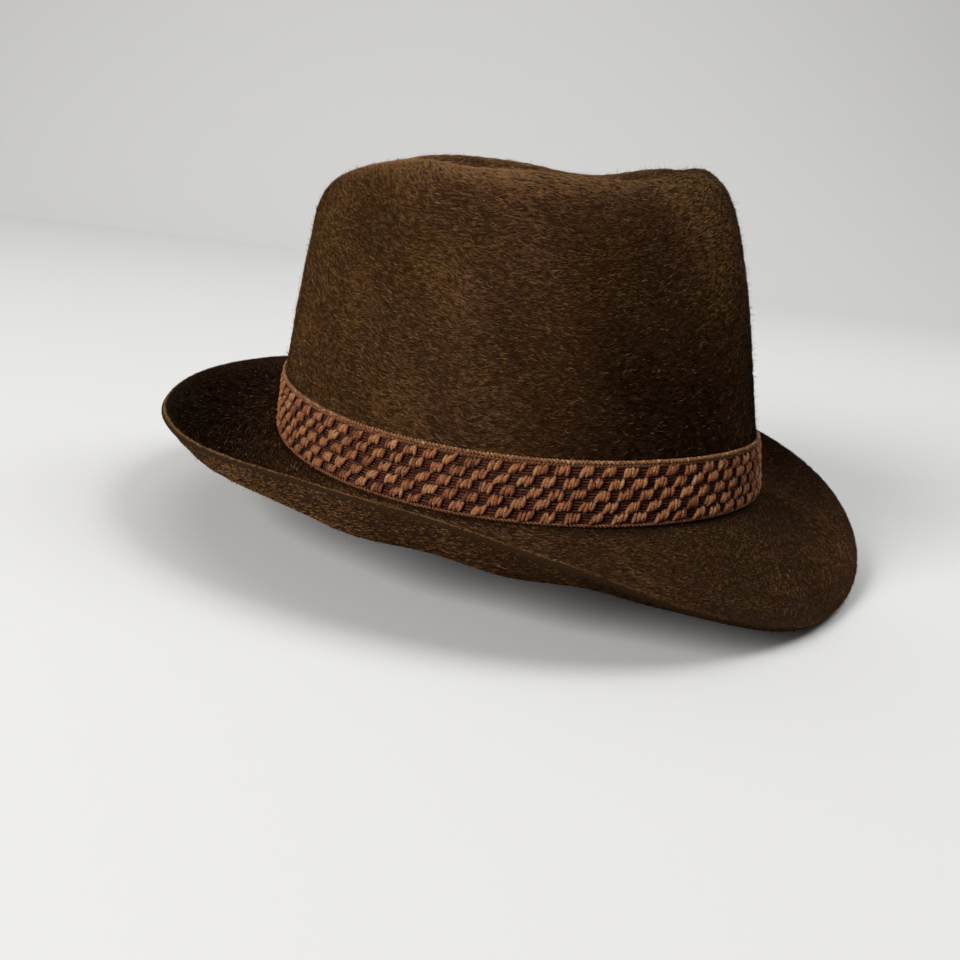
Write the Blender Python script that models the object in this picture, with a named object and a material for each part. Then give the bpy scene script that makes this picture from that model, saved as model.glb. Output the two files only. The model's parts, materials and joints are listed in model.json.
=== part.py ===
"""Soft felt hat with a woven trim band, size 58.

The crown is up (+Z), the front of the brim points to -Y and the wearer's left
side is +X.  The origin is the middle of the head opening, where the crown
meets the brim.  Every surface follows one felt body: ovals stacked from the
dent in the crown, over the ridge, down the wall and out along the brim.
"""

import bpy
import bmesh
import math
import numpy as np

# overall sizes, metres
HEAD_LENGTH = 0.1962          # inside the sweatband, front to back
HEAD_WIDTH = 0.1672           # inside the sweatband, side to side
CROWN_HEIGHT = 0.1171         # band seat to ridge, mean round the crown
BRIM_WIDTH = 0.0522           # along the felt, break to cut edge
FELT_THICK = 0.0022

# crown
DENT_DEPTH = 0.0200           # ridge to the bottom of the centre dent
TIP_LENGTH = 0.88             # shoulder oval over the opening oval, lengthways
TIP_WIDTH = 0.65              # the same, sideways
TIP_BACK = 0.0098             # how far the top sits behind the opening
RIDGE_LENGTH = 0.70
RIDGE_WIDTH = 0.45
RIDGE_BACK = 0.0080
SHOULDER_DROP = 0.0090
CREST_RISE = 0.0033
WALL_BULGE = 0.0027
PINCH_DEPTH = 0.0053          # the two soft hollows beside the front
PINCH_AT = math.radians(30)
PINCH_SPREAD = math.radians(17)
PINCH_NOTCH = 0.0020

# height of the ridge and slope of the brim as cosine series in the angle from the front
RIDGE_SERIES = (1.0, 0.064, -0.011, 0.020)
BREAK_SADDLE = 0.0027         # front and back of the opening ride higher than its sides
SLOPE_IN = (-20.3, -11.5, -6.0, 0.0)      # degrees, next to the crown
SLOPE_OUT = (38.5, -24.5, -29.4, -15.8)   # degrees, at the cut edge
CURL_AT = 0.61

# band round the outside
BAND_WIDTH = 0.0238
BAND_THICK = 0.0020
BAND_LIFT = 0.0018
BAND_GAP = 0.0004
JOIN_ANGLE = math.radians(100)            # just behind the wearer's left temple
JOIN_COVER_WIDTH = 0.0160
JOIN_COVER_THICK = 0.0012
JOIN_OPENING = 0.0008

# inside
SWEAT_WIDTH = 0.0340
SWEAT_THICK = 0.0012
LINING_THICK = 0.0004
CLEAR = 0.0003
LINING_START = 0.0150         # above the break, behind the sweatband
SEAM_SHARE = 0.06             # of a row, left open on each side of the seam
REED_RADIUS = 0.0006
TAPE_THICK = 0.00035
TAPE_TAIL = 0.0095
THREAD_RADIUS = 0.00025
THREAD_HEIGHT = 0.0032
PIPING_RADIUS = 0.0007
BOW_HALF = 0.0130
BOW_DEPTH = 0.0040
BOW_WIDTH = 0.0060
RIBBON_THICK = 0.0005

AROUND = 72                   # steps round the hat
ROWS = 2                      # rows between guide rings

stack = SWEAT_THICK + LINING_THICK + 2 * CLEAR + FELT_THICK
OVAL_A = HEAD_LENGTH / 2 + stack
OVAL_B = HEAD_WIDTH / 2 + stack


def clear_file():
    for thing in list(bpy.data.objects):
        bpy.data.objects.remove(thing, do_unlink=True)


def series(t, terms):
    return sum(term * np.cos(k * t) for k, term in enumerate(terms))


def beside(t, centre, spread):
    """Bell-shaped weight at the same angle on both sides of the front."""
    away = np.abs((t + math.pi) % (2 * math.pi) - math.pi)
    return np.exp(-((away - centre) / spread) ** 2)


def outward(t):
    """Level direction square to the opening oval."""
    way = np.stack([np.sin(t) / OVAL_B, -np.cos(t) / OVAL_A, 0 * t], 1)
    return way / np.linalg.norm(way, axis=1, keepdims=True)


def break_ring(t):
    """Where the crown wall meets the brim, on the felt's outside."""
    return np.stack([OVAL_B * np.sin(t), -OVAL_A * np.cos(t), BREAK_SADDLE * np.cos(2 * t)], 1)


def oval(t, half_length, half_width, back, height):
    return np.stack([half_width * np.sin(t), back - half_length * np.cos(t), height + 0 * t], 1)


def control_rings(t):
    """Guide ovals of the felt's outside, from the dent to the cut edge."""
    pinch = PINCH_DEPTH * beside(t, PINCH_AT, PINCH_SPREAD)
    ridge = CROWN_HEIGHT * series(t, RIDGE_SERIES) - PINCH_NOTCH * beside(t, PINCH_AT, PINCH_SPREAD)
    floor = CROWN_HEIGHT - DENT_DEPTH
    slope_side = 0.24 * OVAL_A
    rl = RIDGE_LENGTH * OVAL_A
    rw = RIDGE_WIDTH * OVAL_B
    rings = [
        oval(t, 0.42 * rl, 0.0, RIDGE_BACK, floor),
        oval(t, 0.59 * rl, 0.20 * rw, RIDGE_BACK, floor),
        oval(t, 0.77 * rl - 0.4 * pinch, 0.50 * rw - 0.4 * pinch, RIDGE_BACK, 0.45 * floor + 0.55 * ridge),
        oval(t, rl - 0.8 * pinch, rw - 0.8 * pinch, RIDGE_BACK, ridge + CREST_RISE),
    ]
    tip_l = TIP_LENGTH * OVAL_A
    tip_w = TIP_WIDTH * OVAL_B
    rings.append(oval(t, tip_l - pinch, tip_w - pinch, TIP_BACK, ridge - SHOULDER_DROP))
    shoulder = oval(t, tip_l, tip_w, TIP_BACK, ridge - SHOULDER_DROP)
    base = break_ring(t)
    way = outward(t)
    for share, hollow in ((0.80, 0.85), (0.58, 0.50), (0.36, 0.20), (0.16, 0.04)):
        out = WALL_BULGE * 4 * share * (1 - share) - pinch * hollow
        rings.append(base + (shoulder - base) * share + way * out[:, None])
    rings.append(base + np.array([0, 0, 0.003]))
    rings.append(base.copy())
    inner = np.radians(series(t, SLOPE_IN))
    outer = np.radians(series(t, SLOPE_OUT))
    reach = np.zeros_like(t)
    rise = np.zeros_like(t)
    steps = 40
    kept = (3, 6, 12, 20, 28, 34, 40)
    for i in range(steps):
        blend = np.clip(((i + 0.5) / steps - CURL_AT + 0.38) / 0.76, 0, 1)
        blend = blend * blend * (3 - 2 * blend)
        slope = inner + (outer - inner) * blend
        reach = reach + BRIM_WIDTH / steps * np.cos(slope)
        rise = rise + BRIM_WIDTH / steps * np.sin(slope)
        if i + 1 in kept:
            rings.append(base + way * reach[:, None] + np.stack([0 * t, 0 * t, rise], 1))
    return rings


def spline_rows(rings, steps):
    """Rows of points on the smooth surface led by the guide rings."""
    led = [2 * rings[0] - rings[1]] + rings + [2 * rings[-1] - rings[-2]]
    led = np.array(led)
    rows = []
    for k in range(len(led) - 3):
        for j in range(steps):
            f = j / steps
            weights = np.array([(1 - f) ** 3, 3 * f ** 3 - 6 * f ** 2 + 4,
                                -3 * f ** 3 + 3 * f ** 2 + 3 * f + 1, f ** 3]) / 6
            rows.append(np.tensordot(weights, led[k:k + 4], 1))
    rows.append(np.tensordot(np.array([1, 4, 1]) / 6, led[-3:], 1))
    return np.array(rows)


def normals(rows):
    """Unit normals of a surface closed in its second direction, pointing away from the head."""
    along = np.gradient(rows, axis=0)
    around = np.roll(rows, -1, 1) - np.roll(rows, 1, 1)
    way = np.cross(around, along)
    size = np.linalg.norm(way, axis=2, keepdims=True)
    way = way / np.maximum(size, 1e-12)
    way[0] = (0, 0, 1)
    if way[len(rows) // 2, 0] @ np.array([0, -1, 0.2]) < 0:
        way = -way
        way[0] = (0, 0, 1)
    return way


ring_t = np.linspace(0, 2 * math.pi, AROUND, endpoint=False)


def wall_point(t, height, out):
    """Point this far above the break on the crown wall, moved level and outward."""
    t = np.atleast_1d(np.asarray(t, float))
    rings = control_rings(t)
    straight = rings[:10]
    straight.append(break_ring(t))
    rows = spline_rows(straight, 8)
    up = rows[..., 2] - break_ring(t)[:, 2]
    first = 8 * 4
    spots = np.empty((len(t), 3))
    for i in range(len(t)):
        levels = up[first:, i][::-1]
        for axis in range(3):
            spots[i, axis] = np.interp(height, levels, rows[first:, i, axis][::-1])
        if height < levels[0]:
            spots[i, 2] = break_ring(t)[i, 2] + height
    return spots + outward(t) * out


def new_object(name, points, faces, material, smooth=True):
    mesh = bpy.data.meshes.new(name)
    mesh.from_pydata([tuple(p) for p in points], [], faces)
    tidy = bmesh.new()
    tidy.from_mesh(mesh)
    bmesh.ops.remove_doubles(tidy, verts=tidy.verts, dist=1e-7)
    bmesh.ops.recalc_face_normals(tidy, faces=tidy.faces)
    tidy.to_mesh(mesh)
    tidy.free()
    for face in mesh.polygons:
        face.use_smooth = smooth
    mesh.materials.append(material)
    thing = bpy.data.objects.new(name, mesh)
    hat.objects.link(thing)
    return thing


def sweep(name, sections, material, closed=True, core=False):
    """Solid through a row of cross-sections, each a loop of the same number of points.

    closed joins the last section to the first.  core leaves out the side between
    the last and first points of the loops, where a dome's two skins meet themselves.
    """
    sections = np.asarray(sections)
    count, loop = sections.shape[:2]
    faces = []
    for i in range(count if closed else count - 1):
        nxt = (i + 1) % count
        for k in range(loop - 1 if core else loop):
            k2 = (k + 1) % loop
            faces.append((i * loop + k, nxt * loop + k, nxt * loop + k2, i * loop + k2))
    if not closed:
        faces.append(tuple(range(loop)))
        faces.append(tuple((count - 1) * loop + k for k in range(loop))[::-1])
    return new_object(name, sections.reshape(-1, 3), faces, material)


def round_loop(radius, count, start=0.0):
    a = start + np.arange(count) * 2 * math.pi / count
    return np.stack([radius * np.cos(a), radius * np.sin(a)], 1)


def wall_sections(t, loops):
    """Cross-sections given as (out, up) pairs measured from the crown wall."""
    t = np.atleast_1d(t)
    columns = []
    for out, up in loops:
        columns.append(wall_point(t, up, out))
    return np.stack(columns, 1)


def shade(name, colour, roughness, metallic=0.0):
    material = bpy.data.materials.new(name)
    material.use_nodes = True
    surface = material.node_tree.nodes["Principled BSDF"]
    surface.inputs["Base Color"].default_value = (*colour, 1)
    surface.inputs["Roughness"].default_value = roughness
    surface.inputs["Metallic"].default_value = metallic
    material.diffuse_color = (*colour, 1)
    return material


clear_file()
hat = bpy.data.collections.new("fedora_hat")
bpy.context.scene.collection.children.link(hat)

felt_look = shade("velour_felt", (0.045, 0.028, 0.014), 0.95)
braid_look = shade("woven_trim", (0.23, 0.09, 0.045), 0.85)
cover_look = shade("woven_trim_fold", (0.19, 0.075, 0.038), 0.85)
leather_look = shade("tan_leather", (0.26, 0.12, 0.05), 0.55)
tape_look = shade("reed_tape", (0.06, 0.035, 0.02), 0.8)
reed_look = shade("reed_plastic", (0.55, 0.50, 0.40), 0.5)
thread_look = shade("thread", (0.35, 0.20, 0.09), 0.8)
lining_look = shade("satin_lining", (0.16, 0.085, 0.035), 0.4)
piping_look = shade("lining_piping", (0.10, 0.05, 0.02), 0.5)
bow_look = shade("bow_ribbon", (0.05, 0.028, 0.015), 0.5)

# felt: one blocked piece, crown and brim
outside = spline_rows(control_rings(ring_t), ROWS)
facing = normals(outside)
inside = outside - facing * FELT_THICK
felt_loops = np.concatenate([outside, inside[::-1]], 0).transpose(1, 0, 2)
sweep("felt_body", felt_loops, felt_look, core=True)

# trim band: one strip round the crown, its ends meeting at the join
band_t = JOIN_ANGLE + JOIN_OPENING / 2 / OVAL_B + np.linspace(0, 1, AROUND + 1) * (
    2 * math.pi - JOIN_OPENING / OVAL_B)
band_low = BAND_LIFT
band_high = BAND_LIFT + BAND_WIDTH
levels = np.linspace(band_low, band_high, 4)
band_loop = [(BAND_GAP + BAND_THICK, h) for h in levels]
band_loop += [(BAND_GAP, h) for h in levels[::-1]]
sweep("hatband", wall_sections(band_t, band_loop), braid_look, closed=False)

# folded cover over the join: face plate with a lip over each edge of the band
half = JOIN_COVER_WIDTH / 2 / OVAL_B
cover_t = np.linspace(JOIN_ANGLE - half, JOIN_ANGLE + half, 9)
near = BAND_GAP + BAND_THICK + CLEAR
far = near + JOIN_COVER_THICK
lip = band_low - CLEAR
brow = band_high + CLEAR
cover_loop = [(far, lip - JOIN_COVER_THICK * 0.6), (far, (lip + brow) / 2), (far, brow + JOIN_COVER_THICK),
              (BAND_GAP + 0.0004, brow + JOIN_COVER_THICK), (BAND_GAP + 0.0004, brow),
              (near, brow), (near, (lip + brow) / 2), (near, lip - JOIN_COVER_THICK * 0.6)]
sweep("band_join_cover", wall_sections(cover_t, cover_loop), cover_look, closed=False)

# sweatband: a leather strip inside the opening, its ends meeting at the back
sweat_out = -(FELT_THICK + 2 * CLEAR + LINING_THICK)
seam = 0.0006 / OVAL_A
sweat_t = math.pi + seam / 2 + np.linspace(0, 1, AROUND + 1) * (2 * math.pi - seam)
levels = SWEAT_WIDTH * np.array([0.0, 0.05, 0.12, 0.3, 0.6, 1.0])
sweat_loop = [(sweat_out, h) for h in levels]
sweat_loop += [(sweat_out - SWEAT_THICK, h) for h in levels[::-1]]
sweep("sweatband", wall_sections(sweat_t, sweat_loop), leather_look, closed=False)

# reed: a stiffening cord under the sweatband's lower edge
reed_out = sweat_out - SWEAT_THICK / 2
tape_inner = REED_RADIUS + 0.00015
tape_outer = tape_inner + TAPE_THICK
reed_up = -CLEAR - tape_outer
reed_t = np.linspace(0, 2 * math.pi, AROUND, endpoint=False)
ring = round_loop(REED_RADIUS, 8)
sweep("sweatband_reed", wall_sections(reed_t, [(reed_out + x, reed_up + y) for x, y in ring]), reed_look)

# reed tape: folded round the reed, its tail running up behind the leather
tail_out = sweat_out + CLEAR + TAPE_THICK / 2
turn = np.radians(np.linspace(60, -240, 13))
fold = [(reed_out + tape_outer * math.cos(a), reed_up + tape_outer * math.sin(a)) for a in turn[1:]]
back_in = [(reed_out + tape_inner * math.cos(a), reed_up + tape_inner * math.sin(a)) for a in turn[::-1]]
tail_low = reed_up + tape_inner * math.sin(turn[0])
tape_loop = [(tail_out - TAPE_THICK / 2, TAPE_TAIL), (tail_out + TAPE_THICK / 2, TAPE_TAIL),
             (tail_out + TAPE_THICK / 2, reed_up + 0.0003)]
tape_loop += [p for p in fold if p[1] < reed_up + 0.0002 or p[0] < reed_out]
tape_loop += back_in
tape_loop += [(tail_out - TAPE_THICK / 2, -CLEAR * 0.5)]
sweep("reed_tape", wall_sections(reed_t, tape_loop), tape_look)

# thread: the line of sewing that holds sweatband and tape
ring = round_loop(THREAD_RADIUS, 6)
thread_out = sweat_out - SWEAT_THICK - THREAD_RADIUS - CLEAR
sweep("sweatband_thread", wall_sections(
    sweat_t, [(thread_out + x, THREAD_HEIGHT + y) for x, y in ring]), thread_look, closed=False)

# lining: side wall from behind the sweatband to the shoulder, then the tip under the dent
lining_face = outside - facing * (FELT_THICK + CLEAR)
lining_back = outside - facing * (FELT_THICK + CLEAR + LINING_THICK)
above = (outside[..., 2] - break_ring(ring_t)[:, 2]).min(1)
seam_row = 4 * ROWS
last_row = max(i for i in range(seam_row, len(outside)) if above[i] > LINING_START)


def cut_at(skin, row, share):
    """Row a share of the way from this row to the next."""
    return (skin[row] * (1 - share) + skin[row + 1] * share)[None]


face = np.concatenate([cut_at(lining_face, seam_row, SEAM_SHARE), lining_face[seam_row + 1:last_row + 1]])
back = np.concatenate([cut_at(lining_back, seam_row, SEAM_SHARE), lining_back[seam_row + 1:last_row + 1]])
sweep("lining_side", np.concatenate([face, back[::-1]], 0).transpose(1, 0, 2), lining_look)
face = np.concatenate([lining_face[:seam_row], cut_at(lining_face, seam_row - 1, 1 - SEAM_SHARE)])
back = np.concatenate([lining_back[:seam_row], cut_at(lining_back, seam_row - 1, 1 - SEAM_SHARE)])
sweep("lining_tip", np.concatenate([face, back[::-1]], 0).transpose(1, 0, 2), lining_look, core=True)

# piping: a cord along the seam between the two lining pieces
cord_off = FELT_THICK + 2 * CLEAR + LINING_THICK + PIPING_RADIUS
middle = outside[seam_row] - facing[seam_row] * cord_off
across = facing[seam_row]
along = np.roll(middle, -1, 0) - np.roll(middle, 1, 0)
along /= np.linalg.norm(along, axis=1, keepdims=True)
beside_it = np.cross(along, across)
ring = round_loop(PIPING_RADIUS, 8)
cord = [middle + across * x + beside_it * y for x, y in ring]
sweep("lining_piping", np.stack(cord, 1), piping_look)

# little ribbon bow at the back of the sweatband: a pinched loop and its knot
bow_mid = wall_point([math.pi], 0.0100, sweat_out - SWEAT_THICK - CLEAR)[0]
lean = wall_point([math.pi], 0.0160, sweat_out - SWEAT_THICK - CLEAR)[0] - bow_mid
lean /= np.linalg.norm(lean)
in_way = np.cross(lean, np.array([1.0, 0, 0]))
if in_way[1] > 0:
    in_way = -in_way
waist = 2 * RIBBON_THICK + CLEAR
turns = np.linspace(0, 2 * math.pi, 40, endpoint=False)
centre = []
for a in turns:
    reach = math.cos(a)
    swell = waist / 2 - RIBBON_THICK / 2 + (BOW_DEPTH - waist) / 2 * abs(reach) ** 1.3
    side = math.copysign(1, math.sin(a)) if abs(math.sin(a)) > 1e-9 else 0.0
    round_off = min(1.0, abs(math.sin(a)) * 1.8)
    centre.append((BOW_HALF * reach, side * swell * round_off))
centre = np.array(centre)
edge = np.roll(centre, -1, 0) - np.roll(centre, 1, 0)
edge /= np.linalg.norm(edge, axis=1, keepdims=True)
square = np.stack([edge[:, 1], -edge[:, 0]], 1)
bow_out = BOW_DEPTH / 2 + RIBBON_THICK + 0.0012
bow_sections = []
for p, n in zip(centre, square):
    corners = []
    for thick, high in ((0.5, -0.5), (0.5, 0.5), (-0.5, 0.5), (-0.5, -0.5)):
        q = p + n * thick * RIBBON_THICK
        spot = bow_mid + np.array([q[0], 0, 0]) + in_way * (bow_out + q[1]) + lean * high * BOW_WIDTH
        corners.append(spot)
    bow_sections.append(corners)
sweep("rear_bow_loops", bow_sections, bow_look)

knot_in = BOW_WIDTH / 2 + CLEAR
knot_deep = waist / 2 + CLEAR + 0.0001
knot_sections = []
for high, deep in ((-1, -1), (-1, 1), (1, 1), (1, -1)):
    corners = []
    for grow, wide in ((0, -1), (RIBBON_THICK, -1), (RIBBON_THICK, 1), (0, 1)):
        spot = bow_mid + np.array([wide * 0.0022, 0, 0])
        spot = spot + in_way * (bow_out + deep * (knot_deep + grow)) + lean * high * (knot_in + grow)
        corners.append(spot)
    knot_sections.append(corners)
knot = sweep("rear_bow_knot", knot_sections, bow_look)
for face in knot.data.polygons:
    face.use_smooth = False

print("pieces:", len(hat.objects))
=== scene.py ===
import json
import math
import bmesh
import bpy
import numpy as np
from mathutils import Matrix, Vector

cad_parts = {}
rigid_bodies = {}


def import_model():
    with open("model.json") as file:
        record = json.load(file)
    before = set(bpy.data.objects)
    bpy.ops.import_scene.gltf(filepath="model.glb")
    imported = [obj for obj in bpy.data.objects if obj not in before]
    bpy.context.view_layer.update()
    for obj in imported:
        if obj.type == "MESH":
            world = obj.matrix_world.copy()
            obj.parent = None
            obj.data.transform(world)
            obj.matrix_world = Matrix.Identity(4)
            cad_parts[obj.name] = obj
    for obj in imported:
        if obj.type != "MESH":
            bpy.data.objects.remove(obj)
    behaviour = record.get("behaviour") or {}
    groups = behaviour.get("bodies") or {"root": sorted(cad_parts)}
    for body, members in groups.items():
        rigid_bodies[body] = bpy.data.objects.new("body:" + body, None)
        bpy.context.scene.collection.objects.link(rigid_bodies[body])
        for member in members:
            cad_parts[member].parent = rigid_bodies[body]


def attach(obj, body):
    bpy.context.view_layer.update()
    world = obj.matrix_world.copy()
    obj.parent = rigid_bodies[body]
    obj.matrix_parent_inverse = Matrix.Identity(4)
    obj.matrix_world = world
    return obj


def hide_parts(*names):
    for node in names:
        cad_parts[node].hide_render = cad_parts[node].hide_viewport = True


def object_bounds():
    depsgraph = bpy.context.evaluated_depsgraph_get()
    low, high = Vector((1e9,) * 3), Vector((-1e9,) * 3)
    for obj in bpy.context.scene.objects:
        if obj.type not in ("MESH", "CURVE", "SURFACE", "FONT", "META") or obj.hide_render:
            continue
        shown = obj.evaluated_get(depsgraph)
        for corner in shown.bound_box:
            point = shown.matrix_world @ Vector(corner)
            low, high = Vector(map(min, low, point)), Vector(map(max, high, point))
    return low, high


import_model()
cadLow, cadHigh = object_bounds()
rng = np.random.default_rng(58)
scene = bpy.context.scene

# the felt body, metres: front is -Y, up is +Z, the origin is the middle of the head opening
hat = dict(
    ovalA=0.1025, ovalB=0.0880, crown=0.1171, brim=0.0522, felt=0.0022,
    dent=0.0200, tipLong=0.88, tipWide=0.65, tipBack=0.0098, ridgeLong=0.70, ridgeWide=0.45, ridgeBack=0.0080,
    shoulder=0.0090, crest=0.0033, bulge=0.0027, pinch=0.0053, pinchAt=math.radians(30),
    pinchSpread=math.radians(17), notch=0.0020, saddle=0.0027, curlAt=0.61,
    ridgeSeries=(1.0, 0.064, -0.011, 0.020), shoulderLift=0.0030,
    handRise=((0, 0), (-0.5, 1.5), (1, -0.5), (-0.5, 2), (-1, -0.5)),
    handReach=((-0.5, 0), (-1, -0.5), (0.5, -0.5), (-1, -0.5)),
    slopeIn=(-20.3, -11.5, -6.0, 0.0), slopeOut=(38.5, -24.5, -29.4, -15.8))


def series(t, terms):  # sum of terms[k] times cos(k t)
    return sum(term * np.cos(k * t) for k, term in enumerate(terms))


def beside(t, centre, spread):  # bell curve exp(-(d/spread)^2), d being the angle from the front less centre
    away = np.abs((t + math.pi) % (2 * math.pi) - math.pi)
    return np.exp(-((away - centre) / spread) ** 2)


def outward(t):  # level unit vector square to the opening oval
    way = np.stack([np.sin(t) / hat["ovalB"], -np.cos(t) / hat["ovalA"], 0 * t], -1)
    return way / np.linalg.norm(way, axis=-1, keepdims=True)


def breakRing(t):  # oval of half axes A and B, its height saddle times cos 2t
    return np.stack([hat["ovalB"] * np.sin(t), -hat["ovalA"] * np.cos(t), hat["saddle"] * np.cos(2 * t)], -1)


def oval(t, halfLong, halfWide, back, height):
    return np.stack([halfWide * np.sin(t), back - halfLong * np.cos(t), height + 0 * t], -1)


def handed(t, pairs):  # millimetre terms a cos(k t) + b sin(k t) of the hand shaping, given back in metres
    return 0.001 * sum(a * np.cos(k * t) + b * np.sin(k * t) for k, (a, b) in enumerate(pairs))


def guideRings(t):  # 18 ovals that lead the felt from the dent over the ridge and down to the brim's edge
    side = beside(t, hat["pinchAt"], hat["pinchSpread"])
    pinch = hat["pinch"] * side
    ridge = hat["crown"] * series(t, hat["ridgeSeries"]) - hat["notch"] * side
    low = hat["crown"] - hat["dent"]
    rl, rw = hat["ridgeLong"] * hat["ovalA"], hat["ridgeWide"] * hat["ovalB"]
    tl, tw = hat["tipLong"] * hat["ovalA"], hat["tipWide"] * hat["ovalB"]
    rb, tb = hat["ridgeBack"], hat["tipBack"]
    rings = [oval(t, 0.42 * rl, 0.0, rb, low), oval(t, 0.59 * rl, 0.20 * rw, rb, low),
             oval(t, 0.77 * rl - 0.4 * pinch, 0.50 * rw - 0.4 * pinch, rb, 0.45 * low + 0.55 * ridge),
             oval(t, rl - 0.8 * pinch, rw - 0.8 * pinch, rb, ridge + hat["crest"]),
             oval(t, tl - pinch, tw - pinch, tb, ridge - hat["shoulder"])]
    lifted, spread = handed(t, hat["handRise"]), handed(t, hat["handReach"])
    for ring, share in ((2, 0.5), (3, 1.0), (4, 1.0)):  # no two sides of a hand-shaped crown are quite alike
        rings[ring] += np.stack([np.sin(t) * spread, -np.cos(t) * spread, lifted], -1) * share
    rings[4][:, 2] += hat["shoulderLift"]
    top = oval(t, tl, tw, tb, ridge - hat["shoulder"] + 0.5 * lifted)
    base, way = breakRing(t), outward(t)
    for share, hollow in ((0.80, 0.85), (0.58, 0.50), (0.36, 0.20), (0.16, 0.04)):
        out = hat["bulge"] * 4 * share * (1 - share) - pinch * hollow
        rings.append(base + (top - base) * share + way * out[..., None])
    rings += [base + np.array([0, 0, 0.003]), base.copy()]
    inner, outer = np.radians(series(t, hat["slopeIn"])), np.radians(series(t, hat["slopeOut"]))
    reach, rise, steps = np.zeros_like(t), np.zeros_like(t), 40
    for i in range(steps):  # the brim's slope turns smoothly from inner to outer on the way to the edge
        blend = np.clip(((i + 0.5) / steps - hat["curlAt"] + 0.38) / 0.76, 0, 1)
        slope = inner + (outer - inner) * blend * blend * (3 - 2 * blend)
        reach = reach + hat["brim"] / steps * np.cos(slope)
        rise = rise + hat["brim"] / steps * np.sin(slope)
        if i + 1 in (3, 6, 12, 20, 28, 34, 40):
            rings.append(base + way * reach[..., None] + np.stack([0 * t, 0 * t, rise], -1))
    return rings


def splineRows(rings, steps):  # uniform cubic B-spline across the rings, its ends held by mirrored rings
    led = np.array([2 * rings[0] - rings[1]] + list(rings) + [2 * rings[-1] - rings[-2]])
    rows = []
    for k in range(len(led) - 3):
        f = np.arange(steps)[:, None] / steps
        w = np.hstack([(1 - f) ** 3, 3 * f ** 3 - 6 * f ** 2 + 4,
                       -3 * f ** 3 + 3 * f ** 2 + 3 * f + 1, f ** 3]) / 6
        rows.append(np.tensordot(w, led[k:k + 4], 1))
    rows.append(np.tensordot(np.array([[1, 4, 1]]) / 6, led[-3:], 1))
    return np.concatenate(rows)


def gridNormals(rows):  # cross product of the two grid directions, turned to point away from the head
    along = np.gradient(rows, axis=0)
    around = np.roll(rows, -1, 1) - np.roll(rows, 1, 1)
    way = np.cross(along, around)
    way[0] = (0, 0, 1)
    return way / np.maximum(np.linalg.norm(way, axis=-1, keepdims=True), 1e-12)


def unit(v):
    return v / np.maximum(np.linalg.norm(v, axis=-1, keepdims=True), 1e-12)


def waves(p, scale, seed):  # smooth wobble in -1..1: mean of 5 sine waves running in random directions
    pick = np.random.default_rng(seed)
    total = 0
    for _ in range(5):
        k = pick.normal(size=3)
        total = total + np.sin(p @ (k / np.linalg.norm(k)) * 2 * math.pi / scale * pick.uniform(0.7, 1.4)
                               + pick.uniform(0, 6.28))
    return total / 3


def wallPoint(t, height, out):  # point this far up the crown wall from the break, moved level and outward
    t = np.asarray(t, float)
    return wallSpot(t, np.broadcast_to(height, t.shape), np.broadcast_to(out, t.shape))


wall = dict(steps=720, levels=60, levelStep=0.001)
wallT = np.linspace(0, 2 * math.pi, wall["steps"] + 1)
wallRows = splineRows(guideRings(wallT)[:10] + [breakRing(wallT)], 10)[40:]
wallUp = wallRows[..., 2] - breakRing(wallT)[:, 2]
wallLevels = np.linspace(0, wall["levels"] * wall["levelStep"], wall["levels"] + 1)
wallShift = np.empty((len(wallLevels), len(wallT), 2))  # level distance from the break ring, for each height
for i in range(len(wallT)):
    for axis in (0, 1):
        wallShift[:, i, axis] = np.interp(wallLevels, wallUp[::-1, i],
                                          (wallRows[:, i, axis] - breakRing(wallT[i:i + 1])[0, axis])[::-1])


def wallSpot(t, height, out):  # bilinear look-up in that table
    x = (t % (2 * math.pi)) / (2 * math.pi) * wall["steps"]
    y = np.clip(height / wall["levelStep"], 0, wall["levels"] - 0.001)
    i, j = np.minimum(x.astype(int), wall["steps"] - 1), y.astype(int)
    fx, fy = (x - i)[..., None], (y - j)[..., None]
    shift = (wallShift[j, i] * (1 - fx) * (1 - fy) + wallShift[j, i + 1] * fx * (1 - fy)
             + wallShift[j + 1, i] * (1 - fx) * fy + wallShift[j + 1, i + 1] * fx * fy)
    spot = breakRing(t) + outward(t) * out[..., None]
    spot[..., :2] += shift
    spot[..., 2] += height
    return spot


def newPiece(name, points, faceGroups, material, uv=None, smooth=True):  # mesh from arrays, all faces at once
    mesh = bpy.data.meshes.new(name)
    points = np.asarray(points, np.float32).reshape(-1, 3)
    faceGroups = [np.asarray(g, np.int32) for g in faceGroups if len(g)]
    loops = np.concatenate([g.ravel() for g in faceGroups])
    sizes = np.concatenate([np.full(len(g), g.shape[1], np.int32) for g in faceGroups])
    mesh.vertices.add(len(points))
    mesh.vertices.foreach_set("co", points.ravel())
    mesh.loops.add(len(loops))
    mesh.loops.foreach_set("vertex_index", loops)
    mesh.polygons.add(len(sizes))
    mesh.polygons.foreach_set("loop_start", np.concatenate([[0], np.cumsum(sizes)[:-1]]).astype(np.int32))
    mesh.polygons.foreach_set("use_smooth", np.full(len(sizes), smooth))
    mesh.update(calc_edges=True)
    if uv is not None:
        layer = mesh.uv_layers.new(name="OFBake")
        layer.data.foreach_set("uv", np.asarray(uv, np.float32).reshape(-1, 2)[loops].ravel())
    mesh.materials.append(material)
    thing = bpy.data.objects.new(name, mesh)
    scene.collection.objects.link(thing)
    return thing


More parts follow.
